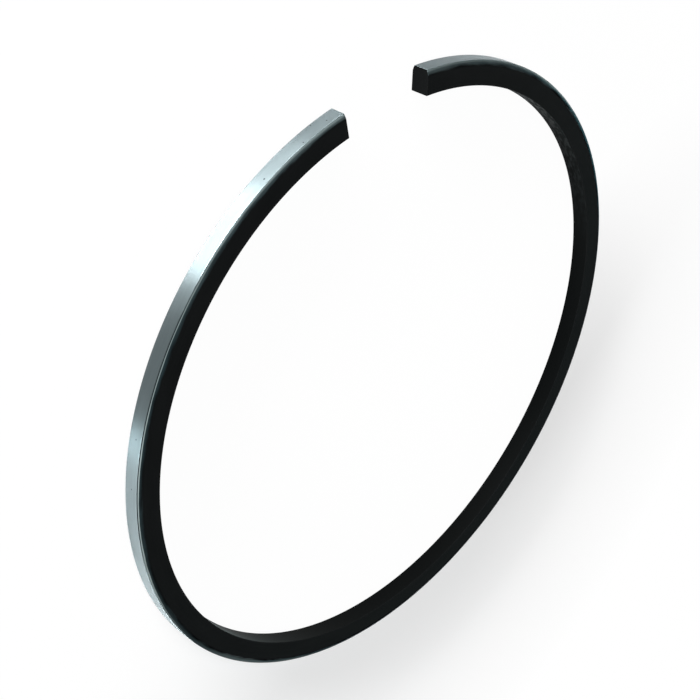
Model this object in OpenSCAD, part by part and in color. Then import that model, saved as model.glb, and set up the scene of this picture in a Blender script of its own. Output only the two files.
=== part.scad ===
// Piston ring of a four-stroke engine, lying free on one side face with its joint open.
// Closed in its bore the ring is round. Let go, it springs open, and its curvature eases from the ends
// towards the back, so that closing it again presses it evenly on the bore all the way round.
// That free form is drawn here as a chain of tangent arcs, the same on both sides of the gap.

/* [Ring] */
// Bore that the closed ring fits
bore_d = 82; // [60:1:110]
// Height between the two side faces
axial_h = 2.5; // [1.5:0.1:4]
// Width from the inner wall to the running face
radial_w = 3.25; // [2.4:0.05:4.5]

/* [Joint] */
// Opening between the ends of the free ring, at the middle of the section
free_gap = 13.5; // [5:0.1:18]
// Gap left between the ends in the bore
closed_gap = 0.35; // [0.1:0.05:1]

/* [Edges] */
// Width of the bevel on each outer edge, across the side face
bevel_w = 0.6; // [0.1:0.05:1]
// Height of the bevel on each outer edge, along the running face
bevel_h = 0.25; // [0.05:0.05:0.6]

/* [Hidden] */

// Radius of the middle of the section when the ring is closed
mid_r = (bore_d - radial_w) / 2;

// Outward directions where the arcs of one half start, from the back round to the gap.
// They follow 3-4-5 and 7-24-25 triangles, so that the arcs meet on exact planes.
back_quarter = [[0, -1], [0.28, -0.96], [0.6, -0.8], [0.8, -0.6], [0.96, -0.28]];
joins = concat(back_quarter, [for (d = back_quarter) [-d[1], d[0]]]);
last = len(joins) - 1;
// The arcs' radii are whole numbers of this step
radius_step = 0.001;

// Angle round the closed ring, counted from the back, at which the ring ends
end_angle = 180 - closed_gap / 2 / mid_r * 180 / PI;

// Heading of the free ring at an angle round the closed one, with k as the ease of its curvature
function heading(angle, k) = angle - k * (angle + sin(angle) * 180 / PI);
// The angle round the closed ring at which the free one reaches a heading, closer with each pass of n
function angle_at(h, k, n = 8) =
    n == 0 ? h : let (a = angle_at(h, k, n - 1)) h + k * (a + sin(a) * 180 / PI);

// Headings and closed angles at the arcs' starts, and at the free end
function headings(k) = concat([for (d = joins) atan2(d[0], -d[1])], heading(end_angle, k));
function angles(k) = concat([for (d = joins) angle_at(atan2(d[0], -d[1]), k)], end_angle);
// Each arc keeps the length that it has in the closed ring
function radii(k) = let (h = headings(k), a = angles(k))
    [for (i = [0:last]) round(mid_r * (a[i + 1] - a[i]) / (h[i + 1] - h[i]) / radius_step) * radius_step];
// Where the free end lies, sideways and up from the back
function sum(list, i = 0) = i < len(list) ? list[i] + sum(list, i + 1) : 0;
function end_x(k) = let (h = headings(k), r = radii(k))
    sum([for (i = [0:last]) r[i] * (sin(h[i + 1]) - sin(h[i]))]);
function end_y(k) = let (h = headings(k), r = radii(k))
    sum([for (i = [0:last]) r[i] * (cos(h[i]) - cos(h[i + 1]))]);
// The ease at which the ends stand the free gap apart, closer with each pass of n
function ease(k, n = 8) =
    n == 0 ? k : ease(k * (free_gap - closed_gap) / (2 * end_x(k) - closed_gap), n - 1);

k_free = ease((free_gap - closed_gap) / (3 * PI * mid_r));
arc_r = radii(k_free);
end_heading = headings(k_free)[last + 1];
outward = concat(joins, [[sin(end_heading), -cos(end_heading)]]);

// The free ring's reach towards the gap, and the middle of its length, both from the back's middle line
top_y = end_y(k_free) + outward[last + 1][1] * radial_w / 2;
centre_y = (top_y - radial_w / 2) / 2;

// Room by which a cutting shape passes the ring
over = 1;
$fn = 360;

// The section, with its running face towards +X and both outer edges bevelled
module section() {
    in_x = -radial_w / 2;
    out_x = radial_w / 2;
    polygon([
        [in_x, 0],
        [out_x - bevel_w, 0],
        [out_x, bevel_h],
        [out_x, axial_h - bevel_h],
        [out_x - bevel_w, axial_h],
        [in_x, axial_h],
    ]);
}

// One arc about its own centre, between two outward directions
module arc(r, from, to) {
    reach = 2 * bore_d;
    intersection() {
        rotate_extrude()
            translate([r, 0])
                section();
        translate([0, 0, -over])
            linear_extrude(axial_h + 2 * over)
                polygon([[0, 0], reach * from, reach * to]);
    }
}

// The arcs of one half from arc i to the free end: each centre lies on the plane where two arcs meet
module arcs_from(i) {
    arc(arc_r[i], outward[i], outward[i + 1]);
    if (i < last)
        translate((arc_r[i] - arc_r[i + 1]) * outward[i + 1])
            arcs_from(i + 1);
}

// The whole ring, with the gap towards +Y
module piston_ring() {
    color([0.09, 0.09, 0.1])
        translate([0, arc_r[0] - centre_y, 0])
            for (side = [0, 1])
                mirror([side, 0, 0])
                    arcs_from(0);
}

piston_ring();
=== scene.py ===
import math
from collections import namedtuple

import bpy
from mathutils import Matrix, Vector


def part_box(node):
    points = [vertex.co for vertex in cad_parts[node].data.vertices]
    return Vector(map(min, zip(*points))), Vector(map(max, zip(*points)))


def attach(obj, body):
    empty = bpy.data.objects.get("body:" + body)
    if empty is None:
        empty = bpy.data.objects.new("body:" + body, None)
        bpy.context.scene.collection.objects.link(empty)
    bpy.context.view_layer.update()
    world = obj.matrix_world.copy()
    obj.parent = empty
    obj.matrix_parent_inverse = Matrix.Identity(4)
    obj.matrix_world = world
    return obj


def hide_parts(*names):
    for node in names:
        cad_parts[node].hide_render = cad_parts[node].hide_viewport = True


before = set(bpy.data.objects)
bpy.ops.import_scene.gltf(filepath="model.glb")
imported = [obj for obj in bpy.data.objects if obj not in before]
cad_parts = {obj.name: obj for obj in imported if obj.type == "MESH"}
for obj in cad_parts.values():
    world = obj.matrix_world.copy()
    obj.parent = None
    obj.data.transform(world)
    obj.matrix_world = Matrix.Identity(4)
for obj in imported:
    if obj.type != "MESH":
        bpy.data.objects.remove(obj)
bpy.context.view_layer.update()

box_low, box_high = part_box("piston_ring")

# Lengths on the ring are in millimetres, as in the part's source, and everything else is in metres
MM = 0.001

# The ring
BORE_D = 82.0
RADIAL_W = 3.25
AXIAL_H = (box_high.z - box_low.z) / MM
FREE_GAP = 13.5
CLOSED_GAP = 0.35
BEVEL_W = 0.6
BEVEL_H = 0.25

# Small roundings of the edges, which only the looks have
INNER_EDGE_R = 0.06
SIDE_EDGE_R = 1.2
FACE_EDGE_R = 0.1
END_EDGE_R = 0.02

# Steps round an edge and along half the ring, and passes to find the free form
EDGE_STEPS = 4
HALF_STEPS = 360
FORM_PASSES = 8

# Middle line of the section, closed in the bore
MID_R = (BORE_D - RADIAL_W) / 2
END_ANGLE = math.pi - CLOSED_GAP / 2 / MID_R

# The bevel's slope and length, and distances round the section from the middle of the running face: to the
# corner of face and bevel, to where the face and the bevel end, and to the inner wall
BEVEL_TURN = math.atan2(BEVEL_H, BEVEL_W)
BEVEL_LENGTH = math.hypot(BEVEL_W, BEVEL_H)
FACE_HALF = AXIAL_H / 2 - BEVEL_H
FACE_END = FACE_HALF + FACE_EDGE_R * math.tan((math.pi / 2 - BEVEL_TURN) / 2)
BEVEL_END = FACE_HALF + BEVEL_LENGTH + SIDE_EDGE_R * math.tan(BEVEL_TURN / 2)
SIDE_END = FACE_HALF + BEVEL_LENGTH + RADIAL_W - BEVEL_W

# The stretch whose edges are worn: its middle, half its length and its soft ends. Places along the ring are
# counted from the back, with minus towards the end at the left of the picture
WORN_MIDDLE = -4.0
WORN_HALF = 102.0
WORN_FADE = 12.0

# The bevel's blue-black oxide, and the share of bare iron that shows through it at places along the ring:
# over the whole bevel, and in the band beside the running face. At the back they are alike. These shares are
# partly wear and partly painted light: a painted reflection along the bevel and a painted highlight in the
# band
OXIDE = (0.016, 0.0275, 0.0315, 1)
BARE_IRON = (0.455, 0.555, 0.556, 1)
BACK_WEAR_AND_REFLECTION = [(-46.0, 0.076), (-34.0, 0.36), (-24.0, 0.25), (-10.0, 0.0), (55.0, 0.0), (78.0, 0.12)]
BEVEL_WEAR_AND_REFLECTION = [
    (-122.0, 0.113), (-113.0, 0.05), (-97.0, 0.03), (-90.0, 0.0), (-60.0, 0.034),
    *BACK_WEAR_AND_REFLECTION, (98.0, 0.145),
]
BAND_WEAR_AND_HIGHLIGHT = [
    (-88.0, 0.4), (-72.0, 1.0), (-60.0, 1.0), (-53.0, 0.375),
    *BACK_WEAR_AND_REFLECTION, (86.0, 0.13), (98.0, 0.4),
]

# The outer end round the section of the band beside the running face, rubbed bare and partly a painted
# highlight, and the width in which it fades, each as (unworn, worn)
BAND_END = (FACE_END + 0.29, FACE_END + 0.236)
BAND_FADE = (0.22, 0.08)

# Where the oxide's colour, and its metal shine, give way to the black coat of the side face
OXIDE_FADE = (BEVEL_END - 0.48, BEVEL_END - 0.18)
SHINE_FADE = (BEVEL_END - 0.26, BEVEL_END - 0.1)

# The painted dark line of shade between the running face and the worn bevel: where it ends along the ring,
# its soft end, and where it starts on the face and stops on the bevel
LINE_END = -57.0
LINE_FADE = 10.0
LINE_ON_FACE = (FACE_HALF + 0.005, FACE_HALF + 0.055)
LINE_ON_BEVEL = (FACE_END + 0.06, FACE_END + 0.11)

# Pits in the running face: cells per millimetre, the pits' radius as a part of a cell, the share of cells
# that have one, and the place (u, v) and radius of the clearest one
PIT_CELLS = 0.5
PIT_SIZE = 0.05
PIT_SHARE = 0.25
PIT_PLACE = (-111.5, 0.35)
PIT_R = 0.14

# Where the inner wall starts, with a soft edge, and where its coat starts to be rubbed in patches
WALL_START = (SIDE_END - 0.05, SIDE_END)
WALL_RUBBED = (66.0, 78.0)

# The range in which most values of a noise lie
NOISE = (0.3, 0.7)

# The map that the ring's patterns are baked through: rows of the unit square, and the room round each one
BAKE_ROWS = 4
BAKE_ROOM = 0.4

# Material slots of the ring
LAPPED = 0
BEVEL = 1
BLACK = 2
CUT = 3

# Sockets of a Mix node that carry colours
MIX_A = 6
MIX_B = 7
MIX_RESULT = 2

# The floor: how far it goes, its white, how much of that is glow in the shadow near the ring, the distances
# over which the glow grows to full, and the glow inside the ring and on the lit side
FLOOR_REACH = 6.0
FLOOR_WHITE = (0.96, 0.96, 0.96, 1)
SHADOW_GLOW = 0.1
SHADOW_FADE = (0.05, 0.1)
LIT_GLOW = 0.96

# Where the inside of the ring ends, the way in which the shadow falls, and where on that way it starts
INSIDE_END = (0.0405, 0.042)
SHADOW_AZIMUTH = math.radians(283)
SHADOW_WAY = (math.cos(SHADOW_AZIMUTH), math.sin(SHADOW_AZIMUTH), 0.0)
SHADOW_START = (0.0, 0.04)

# The lamps' distance, and the middle and the height of the low strips of light, in degrees
PANEL_DISTANCE = 0.5
STRIP_ELEVATION = 4
STRIP_HEIGHT = 7

# The sky: its strength near the horizon and above, and the elevations between which it fades
SKY_LOW = 1.0
SKY_HIGH = 0.08
SKY_FADE = (math.radians(6), math.radians(14))

# The photo's view: a point on the floor, the way from it to the camera, and the camera's roll and lens
VIEW_POINT = Vector((-0.006245, 0.007325, 0.0))
VIEW_AZIMUTH = math.radians(132.26)
VIEW_PITCH = math.radians(35.609)
VIEW_DISTANCE = 0.18756
VIEW_ROLL = math.radians(118.974)
LENS = 75.43
SENSOR = 36.0
NEAREST_SEEN = 0.01

# A point of the section with its normal, v millimetres round it from the middle of the running face
Point = namedtuple("Point", "x z nx nz v")

# A place of the section along the ring, u millimetres from the back. At the ends the section is drawn in by
# the inset, and its normals lean along the ring
Station = namedtuple("Station", "place outward along inset lean u")


# The free form of the ring

def heading(angle, ease):
    """Heading of the free middle line at an angle round the closed ring, counted from the back."""
    return angle - ease * (angle + math.sin(angle))


def half_line(ease):
    """The middle line from the back to one end, as (x, y, heading), with the back at the origin."""
    step = END_ANGLE / HALF_STEPS
    x = 0.0
    y = 0.0
    line = [(x, y, 0.0)]
    for i in range(HALF_STEPS):
        middle = heading((i + 0.5) * step, ease)
        x += MID_R * step * math.cos(middle)
        y += MID_R * step * math.sin(middle)
        line.append((x, y, heading((i + 1) * step, ease)))
    return line


def free_line():
    """The middle line whose ends stand the free gap apart. The first ease tried is the one for small gaps."""
    opening = FREE_GAP - CLOSED_GAP
    ease = opening / (3 * math.pi * MID_R)
    for _ in range(FORM_PASSES):
        gap = 2 * half_line(ease)[-1][0]
        ease *= opening / (gap - CLOSED_GAP)
    return half_line(ease)


def section():
    """The section's points from the middle of the inner wall, and the distance round it."""
    in_x = -RADIAL_W / 2
    out_x = RADIAL_W / 2
    corners = [
        (Vector((in_x, 0)), INNER_EDGE_R),
        (Vector((out_x - BEVEL_W, 0)), SIDE_EDGE_R),
        (Vector((out_x, BEVEL_H)), FACE_EDGE_R),
        (Vector((out_x, AXIAL_H - BEVEL_H)), FACE_EDGE_R),
        (Vector((out_x - BEVEL_W, AXIAL_H)), SIDE_EDGE_R),
        (Vector((in_x, AXIAL_H)), INNER_EDGE_R),
    ]
    outline = [(Vector((in_x, AXIAL_H / 2)), Vector((-1, 0)))]
    for i, (corner, radius) in enumerate(corners):
        before = (corner - corners[i - 1][0]).normalized()
        after = (corners[(i + 1) % len(corners)][0] - corner).normalized()
        start = math.atan2(-before.x, before.y)
        turn = (math.atan2(-after.x, after.y) - start) % (2 * math.pi)
        normal = Vector((math.cos(start), math.sin(start)))
        centre = corner - before * radius * math.tan(turn / 2) - normal * radius
        for k in range(EDGE_STEPS + 1):
            angle = start + turn * k / EDGE_STEPS
            normal = Vector((math.cos(angle), math.sin(angle)))
            outline.append((centre + normal * radius, normal))
    rounds = [0.0]
    for i, (spot, _) in enumerate(outline):
        following = outline[(i + 1) % len(outline)][0]
        rounds.append(rounds[-1] + (following - spot).length)
    around = rounds[-1]
    points = []
    for (spot, normal), distance in zip(outline, rounds):
        points.append(Point(spot.x, spot.y, normal.x, normal.y, distance - around / 2))
    return points, around


def stations(line):
    """The places of the section from the left end to the right one, with the middle of their box at the
    origin."""
    _, end_y, end_angle = line[-1]
    highest = end_y - math.cos(end_angle) * RADIAL_W / 2
    lowest = -RADIAL_W / 2
    box_middle = Vector((0, (highest + lowest) / 2))
    spacing = MID_R * END_ANGLE / HALF_STEPS
    half = []
    for i, (x, y, angle) in enumerate(line):
        outward = Vector((math.sin(angle), -math.cos(angle)))
        along = Vector((math.cos(angle), math.sin(angle)))
        half.append(Station(Vector((x, y)) - box_middle, outward, along, 0.0, 0.0, i * spacing))
    end = half.pop()
    for k in range(EDGE_STEPS + 1):
        lean = math.pi / 2 * k / EDGE_STEPS
        back = END_EDGE_R * (1 - math.sin(lean))
        inset = END_EDGE_R * (1 - math.cos(lean))
        place = end.place - end.along * back
        half.append(Station(place, end.outward, end.along, inset, lean, end.u - back))
    flip = Vector((-1, 1))
    mirrored = []
    for s in reversed(half[1:]):
        mirrored.append(Station(s.place * flip, s.outward * flip, -s.along * flip, s.inset, -s.lean, -s.u))
    return mirrored + half


def slot_at(v):
    """The material at a distance round the section from the middle of the running face."""
    if v < FACE_END:
        return LAPPED
    return BEVEL if v < BEVEL_END else BLACK


def bake_place(u, v, row, length, around):
    """The place in the unit square of a point on the ring, u along it from one end and v round the section.
    The ring is cut into rows of the same length, one over the other."""
    x = (u - row * length + BAKE_ROOM) / (length + 2 * BAKE_ROOM)
    y = (v + BAKE_ROOM) / (around + 2 * BAKE_ROOM)
    return (x, (row + y) / BAKE_ROWS)


def ring_surface(rows, points):
    """The ring's points and their normals, with the section's points at each station in turn."""
    verts = []
    normals = []
    for s in rows:
        for p in points:
            spot = s.place + s.outward * (p.x - p.nx * s.inset)
            flat = s.outward * p.nx * math.cos(s.lean) + s.along * math.sin(s.lean)
            verts.append(Vector((spot.x, spot.y, p.z - p.nz * s.inset)) * MM)
            normals.append(Vector((flat.x, flat.y, p.nz * math.cos(s.lean))))
    return verts, normals


def ring_mesh():
    """The ring as one closed mesh, with exact normals, the map "ring" of (u, v) in millimetres and a map to
    bake through, where the two ends lie beside the last row."""
    points, around = section()
    rows = stations(free_line())
    count = len(points)
    start = rows[0].u
    full = rows[-1].u - start
    length = (full + 2 * (RADIAL_W + BAKE_ROOM)) / BAKE_ROWS
    faces = []
    slots = []
    on_ring = []
    on_bake = []
    for i, (s1, s2) in enumerate(zip(rows, rows[1:])):
        row = int((s1.u - start) / length)
        for k in range(count):
            k2 = (k + 1) % count
            faces.append((i * count + k, (i + 1) * count + k, (i + 1) * count + k2, i * count + k2))
            v1 = points[k].v
            v2 = points[k2].v if k2 else around / 2
            slots.append(slot_at(abs(v1 + v2) / 2))
            corners = [(s1.u, v1), (s2.u, v1), (s2.u, v2), (s1.u, v2)]
            on_ring += corners
            on_bake += [bake_place(u - start, v + around / 2, row, length, around) for u, v in corners]
    first = list(range(count))
    final = [(len(rows) - 1) * count + k for k in range(count)]
    for end, ids in enumerate((first, list(reversed(final)))):
        faces.append(tuple(ids))
        slots.append(CUT)
        corners = [(points[k % count].x, points[k % count].z) for k in ids]
        on_ring += corners
        middle = full + BAKE_ROOM + end * (RADIAL_W + BAKE_ROOM) + RADIAL_W / 2
        on_bake += [bake_place(middle + x, z, BAKE_ROWS - 1, length, around) for x, z in corners]
    verts, normals = ring_surface(rows, points)
    mesh = bpy.data.meshes.new("piston_ring_finish")
    mesh.from_pydata(verts, [], faces)
    for polygon, slot in zip(mesh.polygons, slots):
        polygon.material_index = slot
        polygon.use_smooth = True
    for name, places in (("ring", on_ring), ("OFBake", on_bake)):
        layer = mesh.uv_layers.new(name=name)
        for loop, uv in zip(layer.data, places):
            loop.uv = uv
    mesh.normals_split_custom_set([normals[loop.vertex_index] for loop in mesh.loops])
    mesh.validate()
    return mesh


# Materials

class Nodes:
    """A material's node tree, with short calls to add and join nodes."""

    def __init__(self, name):
        self.material = bpy.data.materials.new(name)
        self.material.use_nodes = True
        self.tree = self.material.node_tree
        self.tree.nodes.clear()
        self.output = self.tree.nodes.new("ShaderNodeOutputMaterial")

    def add(self, kind, inputs=None, **settings):
        """A new node, with its settings and what goes into its sockets."""
        node = self.tree.nodes.new(kind)
        for key, value in settings.items():
            setattr(node, key, value)
        for key, value in (inputs or {}).items():
            self.put(node.inputs[key], value)
        return node

    def put(self, socket, value):
        """Joins a socket to another node's output, or sets it to a value."""
        if isinstance(value, bpy.types.NodeSocket):
            self.tree.links.new(value, socket)
        else:
            socket.default_value = value

    def math(self, operation, *values):
        """A sum of values, or another operation on them."""
        node = self.add("ShaderNodeMath", operation=operation)
        for socket, value in zip(node.inputs, values):
            self.put(socket, value)
        return node.outputs[0]

    def ramp(self, value, low, high, start=0.0, end=1.0):
        """The value from low to high, mapped to start to end and held there."""
        node = self.add("ShaderNodeMapRange", {"Value": value})
        for key, number in zip(("From Min", "From Max", "To Min", "To Max"), (low, high, start, end)):
            node.inputs[key].default_value = number
        return node.outputs[0]

    def mix(self, factor, a, b):
        """The colour a, turning to b as the factor goes from 0 to 1."""
        node = self.add("ShaderNodeMix", data_type="RGBA")
        self.put(node.inputs["Factor"], factor)
        self.put(node.inputs[MIX_A], a)
        self.put(node.inputs[MIX_B], b)
        return node.outputs[MIX_RESULT]

    def share(self, value, stops):
        """A share that follows a value through stops of (value, share)."""
        low = stops[0][0]
        high = stops[-1][0]
        node = self.add("ShaderNodeValToRGB", {"Fac": self.ramp(value, low, high)})
        elements = node.color_ramp.elements
        for at, _ in stops[1:-1]:
            elements.new((at - low) / (high - low))
        for element, (_, share) in zip(elements, stops):
            element.color = (share, share, share, 1)
        return node.outputs["Color"]

    def place(self):
        """(u, v) on the ring, in millimetres."""
        return self.add("ShaderNodeUVMap", uv_map="ring").outputs[0]

    def height(self, place):
        """Distance round the section from the middle of the running face."""
        return self.math("ABSOLUTE", self.add("ShaderNodeSeparateXYZ", {"Vector": place}).outputs["Y"])

    def along(self, place):
        """Distance along the ring from the back."""
        return self.add("ShaderNodeSeparateXYZ", {"Vector": place}).outputs["X"]

    def worn(self, place):
        """1 on the stretch whose edges are worn, fading to 0 towards the two ends."""
        away = self.math("ABSOLUTE", self.math("SUBTRACT", self.along(place), WORN_MIDDLE))
        return self.ramp(away, WORN_HALF, WORN_HALF - WORN_FADE)

    def shade_lined(self, place):
        """1 where a painted dark line of shade parts the running face from the worn bevel."""
        on_line = self.ramp(self.along(place), LINE_END, LINE_END - LINE_FADE)
        return self.math("MULTIPLY", self.worn(place), on_line)

    def noise(self, place, cells, detail=3.0, roughness=0.55):
        """Noise over the ring, with cells per millimetre along u and v."""
        mapped = self.add("ShaderNodeMapping", {"Vector": place, "Scale": (*cells, 1.0)})
        node = self.add("ShaderNodeTexNoise", {"Vector": mapped.outputs[0], "Scale": 1.0, "Detail": detail})
        node.inputs["Roughness"].default_value = roughness
        return node.outputs[0]

    def spots(self, place, cells, size, share, core=0.6):
        """1 in small round spots, with cells per millimetre, size as a part of a cell, share as the part of
        cells used, and core as the part of a spot that is full."""
        mapped = self.add("ShaderNodeMapping", {"Vector": place, "Scale": (cells, cells, 1.0)})
        node = self.add("ShaderNodeTexVoronoi", {"Vector": mapped.outputs[0]}, voronoi_dimensions="2D")
        node.inputs["Scale"].default_value = 1.0
        chance = self.add("ShaderNodeSeparateColor", {"Color": node.outputs["Color"]}).outputs[0]
        used = self.math("LESS_THAN", chance, share)
        return self.math("MULTIPLY", used, self.ramp(node.outputs["Distance"], size, size * core))

    def spot(self, place, centre, radius, core=0.5):
        """1 in one round spot, with core as the part of it that is full."""
        away = self.add("ShaderNodeVectorMath", {0: place, 1: (*centre, 0.0)}, operation="DISTANCE")
        return self.ramp(away.outputs["Value"], radius, radius * core)

    def bump(self, height, distance):
        """Normals of a relief whose height of 1 stands for a distance."""
        return self.add("ShaderNodeBump", {"Height": height, "Distance": distance}).outputs[0]

    def finish(self, **inputs):
        """The material, with what goes into its shader's sockets."""
        shader = self.add("ShaderNodeBsdfPrincipled")
        for key, value in inputs.items():
            self.put(shader.inputs[key.replace("_", " ")], value)
        self.tree.links.new(shader.outputs[0], self.output.inputs[0])
        return self.material


def lapped_iron():
    """The running face: dark grey iron, lapped round the ring, with a few pits. Its edges are a little
    darker, a painted shade that holds back the glint of their rounding, and darkest in a painted dark line of
    shade beside the worn bevel. It is smoother along the ring than across it."""
    grey = (0.135, 0.168, 0.177, 1)
    light_grey = (0.17, 0.208, 0.218, 1)
    lap_grey = (0.09, 0.115, 0.122, 1)
    edge_shade_grey = (0.13, 0.16, 0.168, 1)
    shade_line_dark = (0.03, 0.04, 0.043, 1)
    pit_dark = (0.012, 0.014, 0.016, 1)
    roughness = (0.35, 0.37)
    lap_range = (0.35, 0.75)
    lap_share = 0.15
    lap_depth = 0.15
    pit_depth = 0.002 * MM
    quarter_turn = 0.25
    n = Nodes("lapped_iron")
    place = n.place()
    clouds = n.noise(place, cells=(0.12, 0.5))
    lines = n.noise(place, cells=(0.05, 5.0), detail=2.0)
    pits = n.math("MAXIMUM", n.spots(place, PIT_CELLS, PIT_SIZE, PIT_SHARE), n.spot(place, PIT_PLACE, PIT_R))
    colour = n.mix(n.ramp(clouds, *NOISE), grey, light_grey)
    colour = n.mix(n.ramp(lines, *lap_range, end=lap_share), colour, lap_grey)
    # Painted shade: the face's rounded edge is darkened, most in the dark line beside the worn bevel
    edge = n.mix(n.shade_lined(place), edge_shade_grey, shade_line_dark)
    colour = n.mix(n.ramp(n.height(place), *LINE_ON_FACE), colour, edge)
    colour = n.mix(pits, colour, pit_dark)
    relief = n.math("SUBTRACT", n.math("MULTIPLY", lines, lap_depth), pits)
    tangent = n.add("ShaderNodeTangent", direction_type="UV_MAP", uv_map="ring").outputs[0]
    return n.finish(
        Base_Color=colour, Metallic=1.0, Roughness=n.ramp(clouds, *NOISE, *roughness),
        Anisotropic=1.0, Anisotropic_Rotation=quarter_turn, Tangent=tangent,
        Normal=n.bump(relief, pit_depth),
    )


def dark_bevel():
    """The bevels: burnished iron with blue-black oxide, lighter and darker along the ring partly from wear
    and partly as a painted reflection. The band beside the running face is rubbed bare and is partly a
    painted highlight; where the ring is worn it is a fine bright line, with a painted dark line of shade
    beside the face. Towards the side face the black coat takes over."""
    cloud_dark = (0.012, 0.016, 0.0175, 1)
    coat_black = (0.0045, 0.0052, 0.0055, 1)
    shade_line_dark = (0.014, 0.02, 0.022, 1)
    roughness = (0.34, 0.46)
    cloud_share = 0.3
    uneven = 0.03
    ragged = 0.1
    ragged_range = (0.35, 0.65)
    line_depth = 0.002 * MM
    n = Nodes("dark_bevel")
    place = n.place()
    along = n.along(place)
    height = n.height(place)
    worn = n.worn(place)
    clouds = n.noise(place, cells=(0.3, 1.5))
    lines = n.noise(place, cells=(0.06, 14.0), detail=2.0)
    # Bare iron along the ring: partly wear, partly a painted reflection
    colour = n.mix(n.share(along, BEVEL_WEAR_AND_REFLECTION), OXIDE, BARE_IRON)
    colour = n.mix(n.ramp(clouds, *NOISE, end=cloud_share), colour, cloud_dark)
    coat_edge = n.math("ADD", height, n.ramp(clouds, *ragged_range, -ragged, ragged))
    colour = n.mix(n.ramp(coat_edge, *OXIDE_FADE), colour, coat_black)
    band_edge = n.math("ADD", height, n.ramp(clouds, *NOISE, -uneven, uneven))
    band_end = n.ramp(worn, 0.0, 1.0, *BAND_END)
    band_fade = n.ramp(worn, 0.0, 1.0, *BAND_FADE)
    in_band = n.math("DIVIDE", n.math("SUBTRACT", band_end, band_edge), band_fade)
    # The band beside the face: partly wear, partly a painted highlight
    band = n.mix(n.share(along, BAND_WEAR_AND_HIGHLIGHT), OXIDE, BARE_IRON)
    colour = n.mix(n.ramp(in_band, 0.0, 1.0), colour, band)
    in_line = n.math("MULTIPLY", n.ramp(height, *LINE_ON_BEVEL, 1.0, 0.0), n.shade_lined(place))
    # Painted shade: a dark line on the bevel beside the running face
    colour = n.mix(in_line, colour, shade_line_dark)
    return n.finish(
        Base_Color=colour, Metallic=n.ramp(height, *SHINE_FADE, 1.0, 0.0),
        Roughness=n.ramp(lines, *NOISE, *roughness), Specular_IOR_Level=0.02,
        Specular_Tint=(0.3, 0.32, 0.33, 1), Normal=n.bump(lines, line_depth),
    )


def black_phosphate():
    """The sides and inner wall: a matt black coat with fine grain, turned lines and a faint green sheen. The
    wall's coat is painted darker as shade, against the strong low light that falls on it, with rubbed and
    matt patches towards one end."""
    black = (0.0037, 0.004, 0.0042, 1)
    light_black = (0.0051, 0.0055, 0.0057, 1)
    turned_black = (0.0065, 0.007, 0.0073, 1)
    wall_shade_black = (0.0008, 0.001, 0.001, 1)
    wall_rubbed = (0.0026, 0.0033, 0.0035, 1)
    roughness = (0.38, 0.5)
    wall_matt = 0.25
    patch_range = (0.45, 0.58)
    turned_range = (0.4, 0.75)
    turned_share = 0.5
    grain_depth = 0.5
    line_depth = 0.003 * MM
    n = Nodes("black_phosphate")
    place = n.place()
    grain = n.noise(place, cells=(9.0, 9.0))
    clouds = n.noise(place, cells=(0.15, 0.4))
    turned = n.noise(place, cells=(0.05, 9.0), detail=2.0)
    mottle = n.noise(place, cells=(0.7, 1.6))
    on_wall = n.ramp(n.height(place), *WALL_START)
    near_end = n.ramp(n.along(place), *WALL_RUBBED)
    patches = n.ramp(mottle, *patch_range)
    rubbed = n.math("MULTIPLY", patches, near_end)
    matt = n.math("MULTIPLY", n.math("SUBTRACT", 1.0, patches), near_end)
    colour = n.mix(n.ramp(clouds, *NOISE), black, light_black)
    colour = n.mix(n.ramp(turned, *turned_range, end=turned_share), colour, turned_black)
    # Painted shade: the inner wall is darker than the sides to offset the low light on it
    colour = n.mix(on_wall, colour, n.mix(rubbed, wall_shade_black, wall_rubbed))
    matt = n.math("MULTIPLY", n.math("MULTIPLY", matt, on_wall), wall_matt)
    relief = n.math("ADD", n.math("MULTIPLY", grain, grain_depth), turned)
    return n.finish(
        Base_Color=colour, Roughness=n.math("ADD", n.ramp(grain, *NOISE, *roughness), matt),
        Specular_IOR_Level=0.017, Sheen_Weight=0.02, Sheen_Roughness=0.3,
        Sheen_Tint=(0.45, 1, 0.97, 1), Normal=n.bump(relief, line_depth),
    )


def cut_end():
    """The ends: the same black coat over a plain saw cut, finely ground across."""
    black = (0.0013, 0.0015, 0.0015, 1)
    light_black = (0.0022, 0.0025, 0.0026, 1)
    roughness = (0.4, 0.5)
    mark_depth = 0.003 * MM
    n = Nodes("cut_end")
    place = n.place()
    grain = n.noise(place, cells=(9.0, 9.0))
    marks = n.noise(place, cells=(0.5, 12.0), detail=2.0)
    return n.finish(
        Base_Color=n.mix(n.ramp(grain, *NOISE), black, light_black),
        Roughness=n.ramp(grain, *NOISE, *roughness), Specular_IOR_Level=0.022,
        Normal=n.bump(marks, mark_depth),
    )


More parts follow.
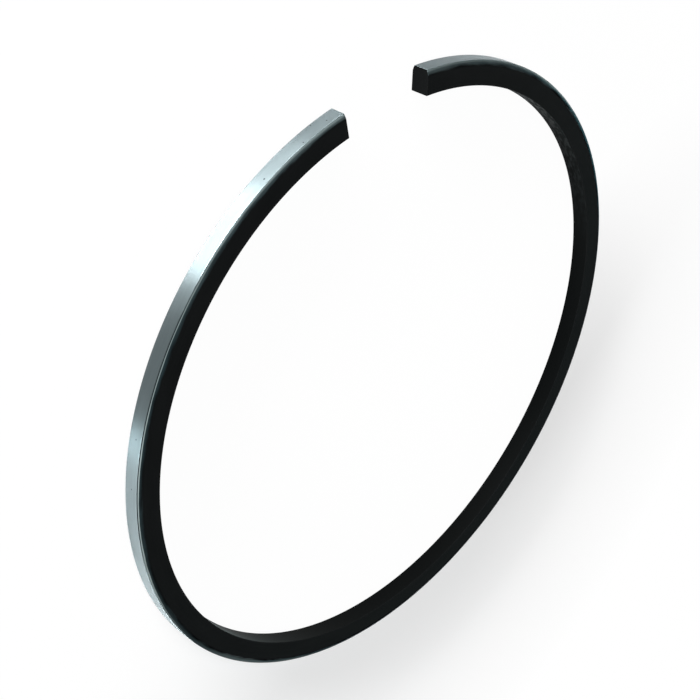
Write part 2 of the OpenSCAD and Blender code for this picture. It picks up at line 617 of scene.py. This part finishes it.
def floor_white():
    """A white floor that keeps the ring's shadow on the side away from the key light, and glows white inside
    the ring, on the lit side and far out. The glow is only for what sees it, and isn't sampled as a lamp."""
    n = Nodes("floor_white")
    ray = n.add("ShaderNodeLightPath")
    seen = n.math("MAXIMUM", ray.outputs["Is Camera Ray"], ray.outputs["Is Glossy Ray"])
    seen = n.math("MAXIMUM", seen, ray.outputs["Is Transmission Ray"])
    place = n.add("ShaderNodeNewGeometry").outputs["Position"]
    away = n.add("ShaderNodeVectorMath", {0: place}, operation="LENGTH").outputs["Value"]
    behind = n.add("ShaderNodeVectorMath", {0: place, 1: SHADOW_WAY}, operation="DOT_PRODUCT")
    far_out = n.ramp(away, *SHADOW_FADE, SHADOW_GLOW, 1.0)
    inside = n.ramp(away, *INSIDE_END, LIT_GLOW, 0.0)
    lit_side = n.ramp(behind.outputs["Value"], *SHADOW_START, LIT_GLOW, 0.0)
    glowing = n.math("MAXIMUM", far_out, n.math("MAXIMUM", inside, lit_side))
    diffuse = n.add("ShaderNodeBsdfDiffuse", {"Color": FLOOR_WHITE})
    glow = n.add("ShaderNodeEmission", {"Color": (1, 1, 1, 1), "Strength": 1.0})
    mixed = n.add("ShaderNodeMixShader", {"Fac": n.math("MULTIPLY", seen, glowing)})
    n.tree.links.new(diffuse.outputs[0], mixed.inputs[1])
    n.tree.links.new(glow.outputs[0], mixed.inputs[2])
    n.tree.links.new(mixed.outputs[0], n.output.inputs[0])
    n.material.cycles.emission_sampling = "NONE"
    return n.material


# The object

ring = bpy.data.objects.new("piston_ring_finish", ring_mesh())
bpy.context.scene.collection.objects.link(ring)
for material in (lapped_iron(), dark_bevel(), black_phosphate(), cut_end()):
    ring.data.materials.append(material)
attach(ring, "root")
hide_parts("piston_ring")

# The floor

floor_mesh = bpy.data.meshes.new("floor")
floor_corners = [(-1, -1), (1, -1), (1, 1), (-1, 1)]
floor_verts = [(x * FLOOR_REACH, y * FLOOR_REACH, box_low.z) for x, y in floor_corners]
floor_mesh.from_pydata(floor_verts, [], [(0, 1, 2, 3)])
floor = bpy.data.objects.new("floor", floor_mesh)
bpy.context.scene.collection.objects.link(floor)
floor.data.materials.append(floor_white())


# The light

def panel(name, azimuth, elevation, width, height, radiance, colour=(1, 1, 1)):
    """A soft panel that faces the ring. Angles are in degrees, as seen from the ring."""
    a = math.radians(azimuth)
    e = math.radians(elevation)
    way = Vector((math.cos(a) * math.cos(e), math.sin(a) * math.cos(e), math.sin(e)))
    lamp = bpy.data.lights.new(name, "AREA")
    lamp.shape = "RECTANGLE"
    lamp.size = 2 * PANEL_DISTANCE * math.tan(math.radians(width / 2))
    lamp.size_y = 2 * PANEL_DISTANCE * math.tan(math.radians(height / 2))
    lamp.energy = radiance * math.pi * lamp.size * lamp.size_y
    lamp.color = colour
    obj = bpy.data.objects.new(name, lamp)
    obj.location = way * PANEL_DISTANCE
    obj.rotation_euler = way.to_track_quat("Z", "Y").to_euler()
    obj.visible_camera = False
    bpy.context.scene.collection.objects.link(obj)


def strip(name, start, end, radiance, colour=(1, 1, 1)):
    """A low strip of light that stands round the ring between two azimuths."""
    panel(name, (start + end) / 2, STRIP_ELEVATION, end - start, STRIP_HEIGHT, radiance, colour)


strip("key_tail", 133, 144, radiance=12)
strip("key_strip", 101, 133, radiance=147)
strip("key_shoulder", 82, 101, radiance=59)
strip("key_wing", 50, 82, radiance=26)
strip("far_strip", -28, 48, radiance=9)
strip("side_edge", 181.5, 190, radiance=66, colour=(0.86, 0.97, 1))
strip("side_strip", 190, 229, radiance=30)
strip("side_end", 229, 258, radiance=36)
panel("top_panel", azimuth=312, elevation=88, width=76, height=76, radiance=1.12)

# The sky

world = bpy.data.worlds.new("studio")
bpy.context.scene.world = world
world.use_nodes = True
sky_nodes = world.node_tree.nodes
sky_links = world.node_tree.links
coordinates = sky_nodes.new("ShaderNodeTexCoord")
split = sky_nodes.new("ShaderNodeSeparateXYZ")
fade = sky_nodes.new("ShaderNodeMapRange")
fade.inputs["From Min"].default_value = math.sin(SKY_FADE[0])
fade.inputs["From Max"].default_value = math.sin(SKY_FADE[1])
fade.inputs["To Min"].default_value = SKY_LOW
fade.inputs["To Max"].default_value = SKY_HIGH
background = sky_nodes["Background"]
background.inputs["Color"].default_value = (1, 1, 1, 1)
sky_links.new(coordinates.outputs["Generated"], split.inputs[0])
sky_links.new(split.outputs["Z"], fade.inputs["Value"])
sky_links.new(fade.outputs[0], background.inputs["Strength"])

# The camera

ahead = Vector((
    -math.cos(VIEW_AZIMUTH) * math.cos(VIEW_PITCH),
    -math.sin(VIEW_AZIMUTH) * math.cos(VIEW_PITCH),
    -math.sin(VIEW_PITCH),
))
level_right = ahead.cross(Vector((0, 0, 1))).normalized()
level_up = level_right.cross(ahead)
right = level_right * math.cos(VIEW_ROLL) + level_up * math.sin(VIEW_ROLL)
up = level_up * math.cos(VIEW_ROLL) - level_right * math.sin(VIEW_ROLL)
camera_data = bpy.data.cameras.new("photo_view")
camera_data.lens = LENS
camera_data.sensor_width = SENSOR
camera_data.clip_start = NEAREST_SEEN
camera = bpy.data.objects.new("photo_view", camera_data)
turn = Matrix((right, up, -ahead)).transposed()
camera.matrix_world = Matrix.Translation(VIEW_POINT - ahead * VIEW_DISTANCE) @ turn.to_4x4()
bpy.context.scene.collection.objects.link(camera)
bpy.context.scene.camera = camera
bpy.context.scene.view_settings.view_transform = "Standard"
